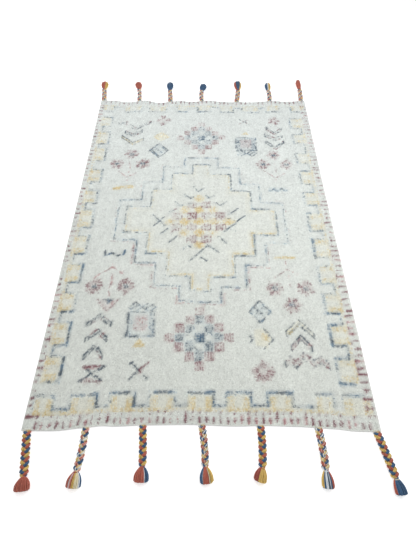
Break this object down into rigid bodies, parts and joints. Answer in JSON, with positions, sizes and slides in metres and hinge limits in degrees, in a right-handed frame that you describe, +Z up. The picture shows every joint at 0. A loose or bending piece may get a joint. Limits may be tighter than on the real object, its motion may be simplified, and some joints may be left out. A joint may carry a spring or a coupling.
{
  "type": "tufted rug",
  "caption": "Flat rectangular low-pile rug with a stepped geometric motif, a key border and plaited yarn tassels along both short ends.",
  "frame": {"origin": "on the floor, at the middle of the bounding box of rug and tassels", "axes": "+X across the rug, +Y along it towards the far tassels, +Z up through the pile"},
  "size_m": [1.26, 2.171, 0.0276],
  "materials": {
    "pile": "low tufted pile, matt",
    "plait_yarn": "navy, gold and terracotta yarn, plaited",
    "tie_thread": "wound thread",
    "terracotta_yarn": "cut yarn, matt",
    "gold_yarn": "cut yarn, matt",
    "cream_yarn": "cut yarn, matt",
    "navy_yarn": "cut yarn, matt"
  },
  "bodies": {
    "root": {"rug": "pile", "plait_front_1": "plait_yarn", "tie_front_1": "tie_thread", "tassel_front_1": "terracotta_yarn", "plait_front_2": "plait_yarn", "tie_front_2": "tie_thread", "tassel_front_2": "gold_yarn", "plait_front_3": "plait_yarn", "tie_front_3": "tie_thread", "tassel_front_3": "terracotta_yarn", "plait_front_4": "plait_yarn", "tie_front_4": "tie_thread", "tassel_front_4": "terracotta_yarn", "plait_front_5": "plait_yarn", "tie_front_5": "tie_thread", "tassel_front_5": "gold_yarn", "plait_front_6": "plait_yarn", "tie_front_6": "tie_thread", "tassel_front_6": "cream_yarn", "plait_front_7": "plait_yarn", "tie_front_7": "tie_thread", "tassel_front_7": "navy_yarn", "plait_far_1": "plait_yarn", "tie_far_1": "tie_thread", "tassel_far_1": "terracotta_yarn", "plait_far_2": "plait_yarn", "tie_far_2": "tie_thread", "tassel_far_2": "terracotta_yarn", "plait_far_3": "plait_yarn", "tie_far_3": "tie_thread", "tassel_far_3": "navy_yarn", "plait_far_4": "plait_yarn", "tie_far_4": "tie_thread", "tassel_far_4": "navy_yarn", "plait_far_5": "plait_yarn", "tie_far_5": "tie_thread", "tassel_far_5": "navy_yarn", "plait_far_6": "plait_yarn", "tie_far_6": "tie_thread", "tassel_far_6": "cream_yarn", "plait_far_7": "plait_yarn", "tie_far_7": "tie_thread", "tassel_far_7": "terracotta_yarn"}
  },
  "joints": []
}
